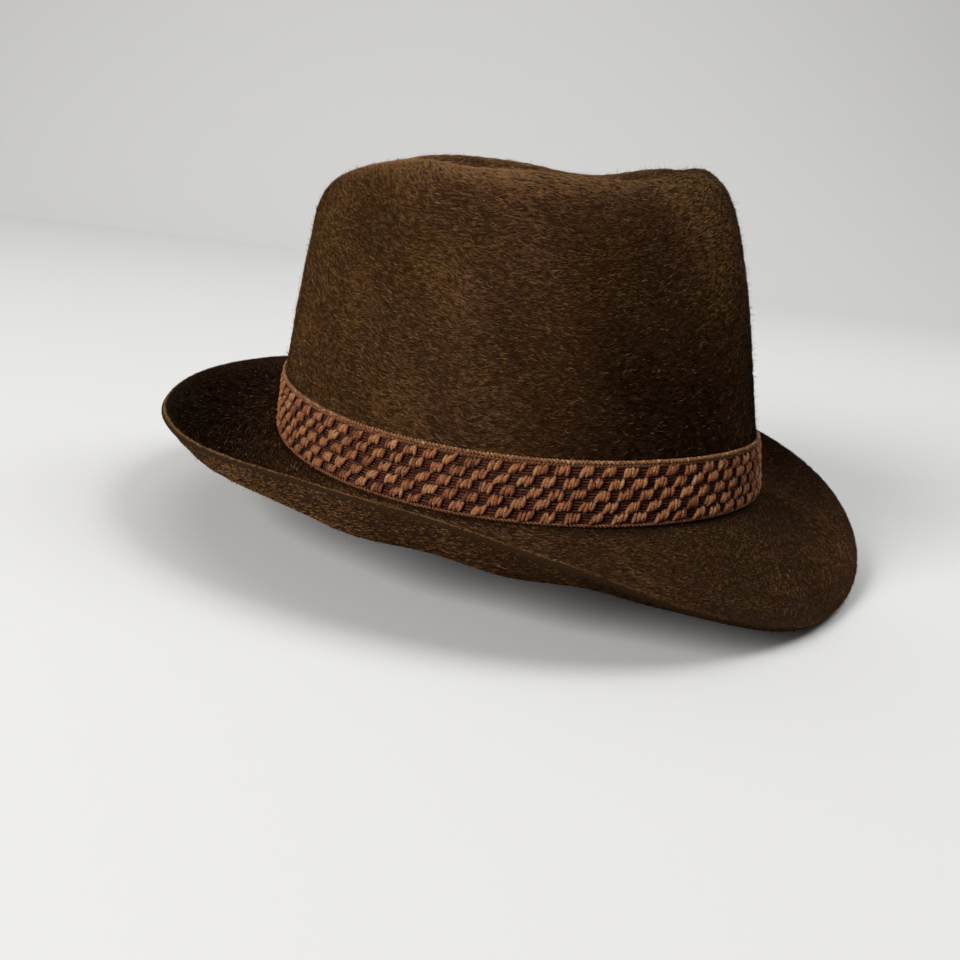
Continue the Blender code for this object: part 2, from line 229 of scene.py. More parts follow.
def gridFaces(rows, cols, wrapRows=False, wrapCols=False, flip=False):
    r = np.arange(rows if wrapRows else rows - 1)
    c = np.arange(cols if wrapCols else cols - 1)
    a, b = np.meshgrid(r, c, indexing="ij")
    a2, b2 = (a + 1) % rows, (b + 1) % cols
    quads = np.stack([a * cols + b, a * cols + b2, a2 * cols + b2, a2 * cols + b], -1).reshape(-1, 4)
    return quads[:, ::-1] if flip else quads


def tubes(paths, radius, up, sides, looped=False, flat=1.0):  # n round paths (n, k, 3) -> points and faces
    paths = np.asarray(paths, float)
    n, k = paths.shape[:2]
    radius = np.broadcast_to(radius, (n, k))[..., None, None]
    ahead = np.roll(paths, -1, 1) - np.roll(paths, 1, 1) if looped else np.gradient(paths, axis=1)
    ahead = unit(ahead)
    side = unit(np.cross(ahead, up))
    top = np.cross(side, ahead)
    a = np.arange(sides) * 2 * math.pi / sides
    ring = side[..., None, :] * np.cos(a)[:, None] + top[..., None, :] * flat * np.sin(a)[:, None]
    points = paths[..., None, :] + ring * radius
    shift = (np.arange(n) * k * sides)[:, None, None]
    groups = [(gridFaces(k, sides, looped, True, flip=True)[None] + shift).reshape(-1, 4)]
    if not looped:
        first = np.arange(sides)[None] + shift[:, 0]
        groups += [first, (first + (k - 1) * sides)[:, ::-1]]
    return points.reshape(-1, 3), groups


def weld(piece, gap=1e-6):  # joins the points that meet along seams and poles
    tidy = bmesh.new()
    tidy.from_mesh(piece.data)
    bmesh.ops.remove_doubles(tidy, verts=tidy.verts, dist=gap)
    bmesh.ops.recalc_face_normals(tidy, faces=tidy.faces)
    tidy.to_mesh(piece.data)
    tidy.free()
    return piece


def finishPiece(piece, nodes):
    if nodes:
        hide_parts(*nodes)
    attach(piece, "root")
    return piece


# materials

def newLook(name, colour, roughness, **sockets):
    look = bpy.data.materials.new(name)
    look.use_nodes = True
    shader = look.node_tree.nodes["Principled BSDF"]
    shader.inputs["Base Color"].default_value = (*colour, 1)
    shader.inputs["Roughness"].default_value = roughness
    for socket, value in sockets.items():
        shader.inputs[socket].default_value = value
    look.diffuse_color = (*colour, 1)
    return look, look.node_tree.nodes, look.node_tree.links, shader


def addNode(nodes, kind, **values):
    node = nodes.new(kind)
    for key, value in values.items():
        if key in node.inputs:
            node.inputs[key].default_value = value
        else:
            setattr(node, key, value)
    return node


def ramp(nodes, links, source, stops):
    node = nodes.new("ShaderNodeValToRGB")
    while len(node.color_ramp.elements) < len(stops):
        node.color_ramp.elements.new(0.5)
    for element, (place, colour) in zip(node.color_ramp.elements, stops):
        element.position = place
        element.color = (*colour, 1)
    links.new(source, node.inputs[0])
    return node.outputs[0]


def objectNoise(nodes, links, scale, detail=3.0, stretch=(1, 1, 1)):
    place = nodes.new("ShaderNodeTexCoord")
    mapping = nodes.new("ShaderNodeMapping")
    mapping.inputs["Scale"].default_value = stretch
    links.new(place.outputs["Object"], mapping.inputs[0])
    noise = addNode(nodes, "ShaderNodeTexNoise", Scale=scale, Detail=detail)
    links.new(mapping.outputs[0], noise.inputs["Vector"])
    return noise.outputs[0]


def mixColours(nodes, links, share, a, b, mode="MIX"):
    mix = nodes.new("ShaderNodeMix")
    mix.data_type = "RGBA"
    mix.blend_type = mode
    for socket, value in ((mix.inputs[0], share), (mix.inputs[6], a), (mix.inputs[7], b)):
        if isinstance(value, (int, float)):
            socket.default_value = value
        elif isinstance(value, tuple):
            socket.default_value = (*value, 1)
        else:
            links.new(value, socket)
    return mix.outputs[2]


def bumpFrom(nodes, links, shader, height, distance, strength=1.0):
    bump = addNode(nodes, "ShaderNodeBump", Strength=strength, Distance=distance)
    links.new(height, bump.inputs["Height"])
    links.new(bump.outputs[0], shader.inputs["Normal"])


feltColours = dict(dark=(0.006, 0.0024, 0.0009), mid=(0.019, 0.0085, 0.0030), olive=(0.046, 0.023, 0.0080))
# two families of hair, olive and rust, each from shaded to pale
napColours = dict(
    olive=((0.02, (0.004, 0.0017, 0.0005)), (0.35, (0.031, 0.0142, 0.0038)), (0.65, (0.082, 0.039, 0.0122)),
           (0.88, (0.155, 0.086, 0.029)), (0.97, (0.290, 0.185, 0.090))),
    rust=((0.02, (0.004, 0.0015, 0.0006)), (0.35, (0.033, 0.0130, 0.0060)), (0.65, (0.083, 0.036, 0.0180)),
          (0.88, (0.145, 0.074, 0.041)), (0.97, (0.290, 0.180, 0.120))))

feltLook, nodes, links, shader = newLook("velourFelt", feltColours["mid"], 0.95, **{
    "Specular IOR Level": 0.05})
patches = objectNoise(nodes, links, 45, 3)
grain = objectNoise(nodes, links, 2400, 4)
tone = ramp(nodes, links, grain,
            ((0.35, feltColours["dark"]), (0.62, feltColours["mid"]), (0.8, feltColours["olive"])))
links.new(mixColours(nodes, links, patches, tone, feltColours["mid"]), shader.inputs["Base Color"])
bumpFrom(nodes, links, shader, grain, 0.0006)

napLook, nodes, links, shader = newLook("velourNap", napColours["olive"][2][1], 0.6, **{
    "Specular IOR Level": 0.0})
place = addNode(nodes, "ShaderNodeUVMap", uv_map="OFBake")
split = nodes.new("ShaderNodeSeparateXYZ")
links.new(place.outputs[0], split.inputs[0])
hue = ramp(nodes, links, split.outputs[0], [(p / 2, c) for p, c in napColours["olive"]]
           + [(0.5 + p / 2, c) for p, c in napColours["rust"]])
rootShade = ramp(nodes, links, split.outputs[1],
                 ((0.0, (0.24, 0.20, 0.18)), (0.3, (0.75, 0.73, 0.71)), (0.9, (1.15, 1.15, 1.15))))
links.new(mixColours(nodes, links, 1.0, hue, rootShade, "MULTIPLY"), shader.inputs["Base Color"])

# felt body

feltShape = dict(around=300, perSpan=7, wobble=0.0006, seam=math.radians(100.2), edgeRound=0.00035)

bodyT = feltShape["seam"] + np.linspace(0, 2 * math.pi, feltShape["around"] + 1)
skin = splineRows(guideRings(bodyT), feltShape["perSpan"])
skin[:, -1] = skin[:, 0]
skinOut = gridNormals(skin[:, :-1])
skinOut = np.concatenate([skinOut, skinOut[:, :1]], 1)
# the hand-shaped felt is never quite even: a slow wobble that fades at the dent line, the band and the edge
rowShare = np.linspace(0, 1, len(skin))[:, None]
bandFade = 1 - np.exp(-((rowShare - 0.58) / 0.07) ** 2)
fade = np.clip(rowShare / 0.1, 0, 1) * bandFade * (1 - 0.7 * np.clip((rowShare - 0.9) / 0.1, 0, 1))
skin = skin + skinOut * (waves(skin, 0.055, 3) * feltShape["wobble"] * fade)[..., None]
under = skin - skinOut * hat["felt"]
edgeWay = unit(skin[-1] - skin[-3])
mid = (skin[-1] + under[-1]) / 2 + edgeWay * feltShape["edgeRound"]
top = skin[-1] * 0.8 + mid * 0.2 + edgeWay * 0.0002
low = under[-1] * 0.8 + mid * 0.2 + edgeWay * 0.0002
bodyRows = np.concatenate([skin, top[None], mid[None], low[None], under[::-1]])
rows, cols = bodyRows.shape[:2]
uGrid, vGrid = np.meshgrid(np.linspace(0.002, 0.998, cols), np.linspace(0.002, 0.998, rows))
feltBody = newPiece("felt_body_velour", bodyRows, [gridFaces(rows, cols)], feltLook,
                    np.stack([uGrid, vGrid], -1))
weld(feltBody, 2e-6)
finishPiece(feltBody, ["felt_body"])
print("felt body:", len(feltBody.data.polygons), "faces")

# nap

# lengths in metres, densities in hairs per square millimetre
nap = dict(length=0.0025, width=0.00013, rootDepth=0.00003, lift=0.20, perPiece=95000,
           crownDensity=5.6, brimDensity=4.0, underDensity=3.3, rimDensity=22)


def growNap(name, base, facing, share, count, values, seed):  # hairs in locks, each one a slim bent leaf
    pick = np.random.default_rng(seed)
    across, down = np.diff(base, axis=1)[:-1], np.diff(base, axis=0)[:, :-1]
    area = np.linalg.norm(np.cross(across, down), axis=-1) * share
    locks = count // values["lock"]
    i, j = np.divmod(pick.choice(area.size, locks, p=(area / area.sum()).ravel()), area.shape[1])
    f, g = pick.random((2, locks, 1))

    def blend(table):
        return (table[i, j] * (1 - f) * (1 - g) + table[i, j + 1] * (1 - f) * g
                + table[i + 1, j] * f * (1 - g) + table[i + 1, j + 1] * f * g)

    root, up = blend(base), unit(blend(facing))
    t = feltShape["seam"] + (j + g[:, 0]) * 2 * math.pi / feltShape["around"]
    rise = -down[i, j]
    rise = unit(rise - up * np.sum(rise * up, -1, keepdims=True))
    back = unit(np.cross(up, rise)) * values["turn"]
    # combed towards the back, its tips turning upwards on the way round, with small and large swirls
    angle = np.radians(values["comb"][0] + values["comb"][1] * np.cos(t) + 10 * waves(root, 0.030, 11)
                       + 9 * waves(root, 0.0050, 12) + pick.normal(0, values["jitter"], locks))
    # painted highlight and painted shade added to the hair's tone
    paintedLight = values["paintedLight"][i, j] if "paintedLight" in values else 0
    tone = values["tone"] + paintedLight + 0.08 * waves(root, 0.04, 15) + values["mottle"] * pick.normal(0, 1, locks)
    lift = values["lift"] * (1 + 0.4 * waves(root, 0.006, 13)) * pick.uniform(0.5, 1.5, locks)
    reach = values["crop"][i, j] if "crop" in values else np.ones(locks)

    def each(table):  # every hair takes its lock's value
        return np.repeat(table, values["lock"], 0)

    root, up, rise, back = map(each, (root, up, rise, back))
    angle, tone, lift, reach = map(each, (angle, tone, lift, reach))
    count = len(root)
    stray = pick.random((count, 1)) < values["stray"]
    angle = angle[:, None] + pick.normal(0, 0.20, (count, 1)) * np.where(stray, 3, 1)
    comb = back * np.cos(angle) + rise * np.sin(angle)
    side = np.cross(comb, up)
    root = (root + side * pick.normal(0, values["spread"], (count, 1))
            + comb * pick.normal(0, 3 * values["spread"], (count, 1)))
    lift = np.where(stray, pick.uniform(0.4, 1.1, (count, 1)),
                    lift[:, None] * pick.uniform(0.7, 1.3, (count, 1)))
    long = values["length"] * reach[:, None] * pick.uniform(0.7, 1.3, (count, 1)) * np.where(stray, 1.2, 1.0)
    bend = pick.normal(0, 0.15, (count, 1))
    tilt = pick.uniform(-1.0, 1.0, (count, 1))
    wide = side * np.cos(tilt) + up * np.sin(tilt)

    def along(s):  # leaves the felt at the lift angle and lies over, bending sideways
        lying = comb * np.cos(lift) * s + up * np.sin(lift) * s * (1.35 - 0.5 * s) + side * bend * s * s
        return root - up * nap["rootDepth"] + long * lying

    half = values["width"] / 2 * np.where(stray, 0.6, 1.0)
    middle = along(0.5)
    points = np.stack([along(0.0), middle + wide * half, along(1.0), middle - wide * half], 1)
    tone = tone + pick.normal(0, 0.22, count)
    pale = pick.random(count)
    tone = np.where(pale < values["pale"], pick.uniform(0.82, 0.96, count), np.clip(tone, 0.03, 0.88))
    uv = np.zeros((count, 4, 2))
    redder = (values["rust"] + 0.22 * waves(root, 0.028, 16)
              + 0.30 * beside(each(t), math.radians(65), math.radians(40)))
    rust = each(pick.random(locks)) < redder
    uv[..., 0] = 0.5 * tone[:, None] + 0.5 * rust[:, None] + np.array([0, 1, 0, -1]) * 0.003
    uv[..., 1] = np.array([0.02, 0.5, 0.98, 0.5])
    piece = newPiece(name, points, [np.arange(count * 4).reshape(-1, 4)], napLook, uv, smooth=False)
    return finishPiece(piece, [])


def napPatch(name, base, facing, share, density, values, seed):  # splits a region into pieces of a fair size
    across, down = np.diff(base, axis=1)[:-1], np.diff(base, axis=0)[:, :-1]
    area = (np.linalg.norm(np.cross(across, down), axis=-1) * share).sum() * 1e6
    total = int(area * density)
    parts = max(1, math.ceil(total / nap["perPiece"]))
    cols = share.shape[1]
    edges = np.linspace(0, cols, parts + 1).astype(int)
    for n in range(parts):
        only = np.zeros_like(share)
        only[:, edges[n]:edges[n + 1]] = share[:, edges[n]:edges[n + 1]]
        partArea = (np.linalg.norm(np.cross(across, down), axis=-1) * only).sum() * 1e6
        growNap(f"{name}_{n + 1}", base, facing, only, int(partArea * density), values, seed + n)
    print(name, "area mm2", round(area), "hairs", total, "pieces", parts)


rowsPerSpan = feltShape["perSpan"]
breakRow, edgeRow = 10 * rowsPerSpan, len(skin) - 1
cellT = (bodyT[:-1] + bodyT[1:]) / 2
rise = (skin[..., 2] - breakRing(bodyT)[:, 2])
rise = (rise[:-1, :-1] + rise[1:, 1:]) / 2
rowId = np.arange(edgeRow)[:, None] + 0 * cellT[None]
band = dict(low=0.0003, width=0.0230, gap=0.0004)
underBand = (rowId < breakRow) & (rowId > 5 * rowsPerSpan) & (rise < band["low"] + band["width"] - 0.001)
crownShare = ((rowId < breakRow) & ~underBand).astype(float)
brimShare = ((rowId >= breakRow + 1)).astype(float)
common = dict(width=nap["width"], lift=nap["lift"], jitter=6, turn=1, stray=0.03, lock=3, spread=0.00014,
              mottle=0.10, rust=0.30)
ridgeRow = 3.15 * rowsPerSpan
paintedLight = 0.60 * np.exp(-((rowId - ridgeRow) / (0.55 * rowsPerSpan)) ** 2)  # painted highlight along the pinched ridge
pinchShadeMask = np.clip((rowId - 4.2 * rowsPerSpan) / (3 * rowsPerSpan), 0, 1)
# painted shade in the hollows at the pinches, painted highlight on the front corner between them
paintedLight = paintedLight - 0.60 * beside(cellT, hat["pinchAt"], 1.3 * hat["pinchSpread"]) * pinchShadeMask
nose = np.exp(-((rowId - 4.6 * rowsPerSpan) / rowsPerSpan) ** 2)
paintedLight = paintedLight + 0.36 * beside(cellT, math.radians(8), math.radians(16)) * nose
atBreak = np.exp(-((rowId - breakRow) / 5.0) ** 2)
fromEdge = (edgeRow - 1 - rowId) / rowsPerSpan
# painted shade on the brim's upper side towards the back, and a painted shadow on the brim just below the
# band
brimPaintedShade = -0.60 * np.clip(-np.cos(cellT) - 0.2, 0, 0.5) / 0.5 - 0.55 * atBreak
# painted shade: the crown's sides and back a little darker
paintedLight = paintedLight - 0.08 * np.clip(0.3 - np.cos(cellT), 0, 1)
# painted shade on the brim's underside, darker towards the front
shaded = -0.36 * np.clip(np.cos(cellT) + 0.1, 0, 1) * np.ones((edgeRow, 1))
# shorter at the edge and beside the band
cropped = (0.3 + 0.7 * np.clip(fromEdge / 1.2, 0, 1)) * (1 - 0.5 * atBreak)
crownNap = dict(common, length=nap["length"], comb=(14, -28), tone=0.47, pale=0.022, paintedLight=paintedLight, rust=0.26)
brimNap = dict(common, length=nap["length"] * 0.9, width=0.00016, comb=(10, -25), tone=0.53, pale=0.03,
               paintedLight=brimPaintedShade, crop=cropped)
underNap = dict(common, length=nap["length"] * 0.8, width=0.00018, comb=(10, -25), tone=0.60, pale=0.008,
                turn=-1, lift=0.17, mottle=0.05, stray=0.015, rust=0.10,
                paintedLight=shaded, crop=0.5 + 0.5 * cropped)
# the rim's hairs set pale: a painted highlight along the brim's edge
rimNap = dict(common, length=0.0007, width=0.00012, comb=(0, 0), tone=0.86, pale=0.02,
              lift=0.5, mottle=0.08, stray=0.01, rust=0.0)
napPatch("nap_crown", skin, skinOut, crownShare, nap["crownDensity"], crownNap, 100)
napPatch("nap_brim_top", skin, skinOut, brimShare, nap["brimDensity"], brimNap, 200)
napPatch("nap_brim_under", under, -skinOut, brimShare, nap["underDensity"], underNap, 300)
rimRows = np.stack([skin[-1], top, 0.5 * (top + mid)])
rimWay = np.stack([unit(edgeWay + skinOut[-1]), edgeWay, edgeWay])
napPatch("nap_rim", rimRows, rimWay, np.ones((2, feltShape["around"])), nap["rimDensity"], rimNap, 400)

# trim band

trim = dict(columns=73, rows=5, shift=0.4, topRoom=0.0018, bottomRoom=0.0010, tuftWide=0.0054,
            tuftRise=0.0007, lobes=4, lobeLong=0.0040, lobeWide=0.0019, lean=math.radians(21), high=0.0021,
            threadsPerRow=4, threadRadius=0.00036, backing=0.0006, joinAt=math.radians(100))
bandColours = dict(
    backing=(0.022, 0.007, 0.0035), threads=(0.068, 0.021, 0.010), edge=(0.150, 0.068, 0.028),
    tufts=((0.0, (0.050, 0.016, 0.008)), (0.3, (0.140, 0.050, 0.020)), (0.5, (0.195, 0.076, 0.037)),
           (0.7, (0.210, 0.100, 0.036)), (1.0, (0.290, 0.150, 0.085))))

stripLook, nodes, links, shader = newLook("trimBacking", bandColours["backing"], 0.95, **{
    "Specular IOR Level": 0.1})
bumpFrom(nodes, links, shader, objectNoise(nodes, links, 1800, 3), 0.0003)


def yarnLook(name, stops):  # wool yarn: tone from the strand's own number, with painted shade down in the weave
    look, nodes, links, shader = newLook(name, stops[1][1], 0.85, **{
        "Specular IOR Level": 0.08, "Sheen Weight": 0.04, "Sheen Roughness": 0.5,
        "Sheen Tint": (0.7, 0.45, 0.3, 1)})
    tone = addNode(nodes, "ShaderNodeAttribute", attribute_name="tone")
    deep = addNode(nodes, "ShaderNodeAttribute", attribute_name="deep")
    hue = ramp(nodes, links, tone.outputs["Fac"], stops)
    shade = ramp(nodes, links, deep.outputs["Fac"], ((0.0, (0.20, 0.14, 0.12)), (0.7, (1, 1, 1))))
    fibre = objectNoise(nodes, links, 1500, 3)
    fleck = ramp(nodes, links, fibre, ((0.34, (0.50, 0.47, 0.45)), (0.66, (1.25, 1.22, 1.18))))
    shaded = mixColours(nodes, links, 1.0, hue, shade, "MULTIPLY")
    mixed = mixColours(nodes, links, 1.0, shaded, fleck, "MULTIPLY")
    links.new(mixed, shader.inputs["Base Color"])
    bumpFrom(nodes, links, shader, fibre, 0.00025, 0.9)
    return look


tuftLook = yarnLook("trimTufts", bandColours["tufts"])
threadLook = yarnLook("trimThreads", (
    (0.0, (0.022, 0.007, 0.004)), (0.5, bandColours["threads"]), (1.0, (0.110, 0.040, 0.020))))
edgeLook = yarnLook("trimEdge", (
    (0.0, (0.120, 0.048, 0.022)), (0.5, bandColours["edge"]), (1.0, (0.38, 0.23, 0.13))))

# arc length round the band's middle, so that the pattern is even: sigma runs to the right seen from outside
arcT = trim["joinAt"] + np.linspace(0, 2 * math.pi, 2001)
arcAt = wallPoint(arcT, band["low"] + band["width"] / 2, band["gap"] + 0.001)
arcLength = np.concatenate([[0], np.cumsum(np.linalg.norm(np.diff(arcAt, axis=0), axis=1))])
bandLength = arcLength[-1]
print("band length", round(bandLength, 4))


def bandPoint(sigma, height, out):  # sigma and height along and up the band, out from its back
    t = np.interp(sigma % bandLength, arcLength, arcT)
    return wallSpot(t, band["low"] + height + 0 * t, band["gap"] + out + 0 * t)


def bandOut(sigma):
    return outward(np.interp(sigma % bandLength, arcLength, arcT))


def addTone(piece, tone, deep=None):  # per-point numbers that the yarn material reads
    for label, values in (("tone", tone), ("deep", deep)):
        if values is not None:
            store = piece.data.attributes.new(label, "FLOAT", "POINT")
            store.data.foreach_set("value", np.asarray(values, np.float32).ravel())


steps = 400
sigmas = 0.0005 + np.linspace(0, 1, steps) * (bandLength - 0.001)
corners = [(0.0, 0.0), (0.0, trim["backing"]), (band["width"], trim["backing"]), (band["width"], 0.0)]
stripRows = np.stack([bandPoint(sigmas, h, o) for h, o in corners])
stripEnds = [[[0, steps, 2 * steps, 3 * steps]],
             [[4 * steps - 1, 3 * steps - 1, 2 * steps - 1, steps - 1]]]
strip = newPiece("hatband_backing", stripRows, [gridFaces(4, steps, True, False, flip=True)] + stripEnds,
                 stripLook, smooth=False)
weld(strip, 1e-7)
finishPiece(strip, ["hatband"])

# fine threads that run the whole length under the tufts
rowPitch = (band["width"] - trim["topRoom"] - trim["bottomRoom"]) / trim["rows"]
count = trim["rows"] * trim["threadsPerRow"]
heights = trim["bottomRoom"] + (np.arange(count) + 0.5) * rowPitch * trim["rows"] / count
sigmas = np.linspace(0.0006, bandLength - 0.0006, 300)
threadPaths, threadUp = [], []
for n, h in enumerate(heights):
    wave = (0.00010 * np.sin(sigmas * 2 * math.pi / 0.0042 + n * 2.4)
            + 0.00006 * waves(bandPoint(sigmas, h, 0), 0.02, n))
    threadPaths.append(bandPoint(sigmas, h + wave, trim["backing"] + 0.00022 + wave))
    threadUp.append(bandOut(sigmas))
threadPaths = np.array(threadPaths)
points, groups = tubes(threadPaths, trim["threadRadius"], np.array(threadUp), 5)
threads = newPiece("hatband_threads", points, groups, threadLook)
tone = 0.5 + 0.15 * rng.normal(size=(count, 1, 1)) + 0.25 * rng.normal(size=(count, 300, 1))
tone = tone + np.zeros((1, 1, 5))
# the threads held half deep: painted shade where they lie under the tufts
addTone(threads, np.clip(tone, 0, 1), np.full(tone.shape, 0.5))
finishPiece(threads, [])

# tufts: leaning grains of yarn, four to a tuft, each row moved on by two fifths of the pitch
pitch = bandLength / trim["columns"]
rowId, colId, lobeId = (a.ravel() for a in np.meshgrid(
    np.arange(trim["rows"]), np.arange(trim["columns"]), np.arange(trim["lobes"]), indexing="ij"))
n = len(rowId)
across = (lobeId / (trim["lobes"] - 1) - 0.5)
tuftJit = rng.normal(0, 1, (trim["rows"], trim["columns"], 3))[rowId, colId]
midSigma = ((colId + trim["shift"] * rowId + 0.15) * pitch + across * (trim["tuftWide"] - trim["lobeWide"])
            + rng.normal(0, 0.00016, n) + tuftJit[:, 0] * 0.00025)
midHeight = (band["width"] - trim["topRoom"] - (rowId + 0.5) * rowPitch + across * trim["tuftRise"]
             + rng.normal(0, 0.00020, n) + tuftJit[:, 1] * 0.00016)
lobeLong = trim["lobeLong"] * rng.uniform(0.88, 1.10, n)
lobeLean = trim["lean"] + rng.normal(0, 0.14, n)
stations = 8
s = np.linspace(-1, 1, stations)[None]
sigmaPath = midSigma[:, None] + np.sin(lobeLean)[:, None] * s * lobeLong[:, None] / 2
heightPath = midHeight[:, None] + np.cos(lobeLean)[:, None] * s * lobeLong[:, None] / 2
heightPath = np.clip(heightPath, 0.0006, band["width"] - 0.0006)
arch = (1 - s ** 2) ** 0.55
tuftHigh = trim["high"] - trim["backing"] - 0.0004
outPath = trim["backing"] + 0.0001 + tuftHigh * arch * rng.uniform(0.85, 1.05, (n, 1))
radius = trim["lobeWide"] / 2 * (0.42 + 0.58 * (1 - s ** 2) ** 0.6) * rng.uniform(0.9, 1.08, (n, 1))
paths = bandPoint(sigmaPath, heightPath, outPath)
points, groups = tubes(paths, radius, bandOut(sigmaPath), 6, flat=0.8)
tufts = newPiece("hatband_tufts", points, groups, tuftLook)
tone = 0.42 + 0.09 * tuftJit[:, 2] + rng.normal(0, 0.14, n)
tone = np.clip(tone[:, None, None] + np.zeros((1, stations, 6)), 0, 1)
ringA = np.arange(6) * 2 * math.pi / 6
crested = (0.5 + 0.5 * np.sin(ringA)) ** 2  # 1 on the crest of the lobe, 0 on its back, where the painted shade is darkest
plies = 0.15 * np.cos(ringA * 3 + 0.6)  # the strands a lobe is made of, side by side
# deep: painted shade at the lobe's ends and back, full tone on its crest
addTone(tufts, np.clip(tone + plies + rng.normal(0, 0.09, (n, stations, 6)), 0, 1),
        np.clip(0.1 + arch[..., None] * (0.15 + 0.85 * crested), 0, 1) + np.zeros((n, 1, 1)))
finishPiece(tufts, [])
print("tufts:", n, "lobes", len(tufts.data.polygons), "faces")


def twistedCord(name, height, out, radius, pitch, pale):  # two plies wound round a line on the band
    plies, spread = 2, 0.8
    count = int(bandLength / abs(pitch) * 8)
    sigma = np.linspace(0.0008, bandLength - 0.0008, count)
    paths, ups, crest = [], [], []
    for p in range(plies):
        a = sigma * 2 * math.pi / pitch + p * 2 * math.pi / plies
        crest.append(0.5 + 0.5 * np.sin(a + 0.9))  # 1 where the ply comes forward; painted shade where it turns back
        reach = radius * spread
        paths.append(bandPoint(sigma, height + reach * np.cos(a), out + reach * np.sin(a)))
        ups.append(bandOut(sigma))
    beaded = radius * np.clip(1 + 0.22 * rng.normal(size=(plies, count)), 0.6, 1.3)  # uneven hand-spun yarn
    points, groups = tubes(np.array(paths), beaded, np.array(ups), 6)
    piece = newPiece(name, points, groups, edgeLook)
    tone = pale + 0.22 * rng.normal(size=(plies, count, 1)) + np.zeros((1, 1, 6))
    deep = np.clip(0.85 * np.array(crest), 0, 1)[..., None] + np.zeros((1, 1, 6))
    addTone(piece, np.clip(tone, 0, 1), deep)
    return finishPiece(piece, [])


twistedCord("hatband_edge_top", height=band["width"] - 0.0005, out=0.0011, radius=0.00050, pitch=0.0030,
            pale=0.42)
twistedCord("hatband_edge_top_inner", height=band["width"] - 0.0016, out=0.0010, radius=0.00036,
            pitch=-0.0026, pale=0.15)
# the bottom cord's low tone is painted shade along the band's lower edge
twistedCord("hatband_edge_bottom", height=0.0005, out=0.0010, radius=0.00040, pitch=0.0030, pale=0.05)

# cover over the join: the trim folded round itself, its cords upright
cover = dict(width=0.0160, unfolded=0.036, cords=13, radius=0.00062)
coverT = trim["joinAt"] + np.linspace(-0.5, 0.5, 25) * cover["width"] / hat["ovalB"]
lip, brow, near = band["low"] - 0.0005, band["low"] + band["width"] + 0.0005, band["gap"] + 0.0023
outline = [(near + 0.0008, lip - 0.0005), (near + 0.0010, (lip + brow) / 2), (near + 0.0008, brow + 0.0004),
           (near + 0.0002, brow + 0.0010), (near - 0.0008, brow + 0.0011), (0.0007, brow + 0.0009),
           (0.0007, brow + 0.0001), (near - 0.0002, brow), (near, brow - 0.0006), (near, (lip + brow) / 2),
           (near, lip - 0.0005)]
coverRows = np.stack([wallPoint(coverT, h, o) for o, h in outline])
k = len(outline)
plate = newPiece("band_join_cover_fold", coverRows, [gridFaces(k, 25, True, False, flip=True),
                 [np.arange(k) * 25], [(np.arange(k) * 25 + 24)[::-1]]], stripLook, smooth=False)
weld(plate, 1e-7)
finishPiece(plate, ["band_join_cover"])
cordShare = np.arange(cover["cords"]) / (cover["cords"] - 1) - 0.5
cordT = trim["joinAt"] + cordShare * (cover["width"] - 0.0012) / hat["ovalB"]
climb = [(near + 0.0009, h) for h in np.linspace(lip - 0.0002, brow + 0.0001, 22)]
climb += [(near + 0.0006, brow + 0.0008), (near - 0.0002, brow + 0.0012), (near - 0.0012, brow + 0.0012)]
coverPaths = np.stack([wallPoint(cordT, h, o + 0.0002) for o, h in climb], 1)
coverRadius = cover["radius"] * (1 + 0.12 * np.sin(np.arange(len(climb)) * 1.9))
coverUp = np.broadcast_to(outward(cordT)[:, None], coverPaths.shape) + 0.3 * np.array([0, 0, 1])
points, groups = tubes(coverPaths, coverRadius[None], coverUp, 8)
cords = newPiece("band_join_cover_cords", points, groups, tuftLook)
tone = np.clip(0.45 + 0.15 * rng.normal(size=(cover["cords"], len(climb), 1)) + np.zeros((1, 1, 8)), 0, 1)
addTone(cords, tone, np.full(tone.shape, 0.8))
finishPiece(cords, [])

# sweatband

inside = dict(sweatOut=-0.0032, sweatThick=0.0012, sweatWide=0.0340, clear=0.0003, liningThick=0.0004,
              reed=0.0006, tapeThick=0.00035, tapeTail=0.0095, tapeWide=0.0165, stitchRow=0.0032,
              stitchPitch=0.0042, stitchLong=0.0030, stitchRadius=0.00032)

leatherLook, nodes, links, shader = newLook("tanLeather", (0.28, 0.13, 0.055), 0.5, **{
    "Specular IOR Level": 0.4})
cloudy = objectNoise(nodes, links, 25, 4)
hide = ramp(nodes, links, cloudy,
            ((0.3, (0.20, 0.088, 0.036)), (0.5, (0.28, 0.13, 0.055)), (0.72, (0.36, 0.19, 0.09))))
links.new(hide, shader.inputs["Base Color"])
place = nodes.new("ShaderNodeTexCoord")
cells = addNode(nodes, "ShaderNodeTexVoronoi", Scale=1100)
links.new(place.outputs["Object"], cells.inputs["Vector"])
bumpFrom(nodes, links, shader, cells.outputs["Distance"], 0.00012, 0.8)
gloss = ramp(nodes, links, cloudy, ((0.3, (0.42,) * 3), (0.7, (0.62,) * 3)))
links.new(gloss, shader.inputs["Roughness"])

steps = 420
sweatT = math.pi + 0.003 + np.linspace(0, 1, steps) * (2 * math.pi - 0.006)
levels = inside["sweatWide"] * np.array(
    [0.0, 0.02, 0.06, 0.094, 0.12, 0.25, 0.4, 0.55, 0.7, 0.82, 0.88, 0.90, 0.92, 0.97, 1.0])
